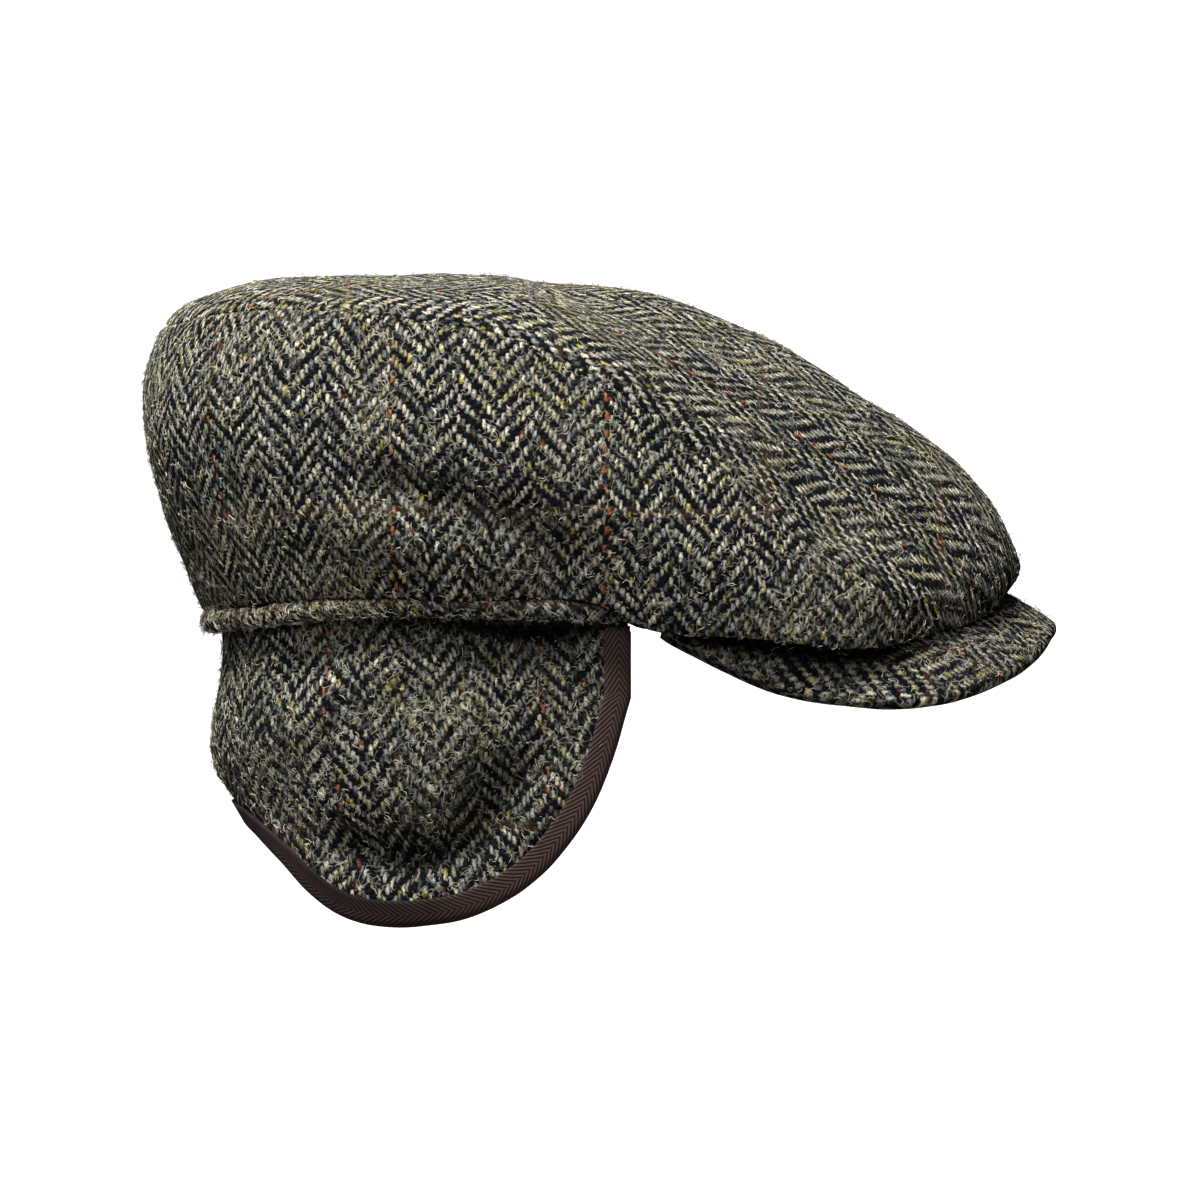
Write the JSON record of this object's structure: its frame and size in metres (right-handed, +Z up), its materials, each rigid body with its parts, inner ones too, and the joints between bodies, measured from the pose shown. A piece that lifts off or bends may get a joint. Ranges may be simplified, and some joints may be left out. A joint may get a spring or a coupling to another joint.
{
  "type": "flat cap with a let-down ear and neck flap",
  "caption": "Herringbone tweed flat cap: full crown over a stiff arched peak, rolled hem, and a wrap-round ear and neck flap let down, lined and bound with tape.",
  "frame": {"origin": "middle of the head opening, level with the rolled hem's middle line at the back, where the cap sits on a head", "axes": "+Z up, -Y the way the peak points, +X the wearer's left; the cap is the same on both sides of X = 0"},
  "size_m": [0.2, 0.2884, 0.2035],
  "materials": {
    "tweed": "matte woven wool",
    "lining": "matte",
    "tape": "matte twill"
  },
  "bodies": {
    "root": {"top_panel": "tweed", "side_panel": "tweed", "rolled_hem": "tweed", "peak": "tweed", "ear_flap": "tweed", "flap_lining": "lining", "flap_binding": "tape"}
  },
  "joints": []
}
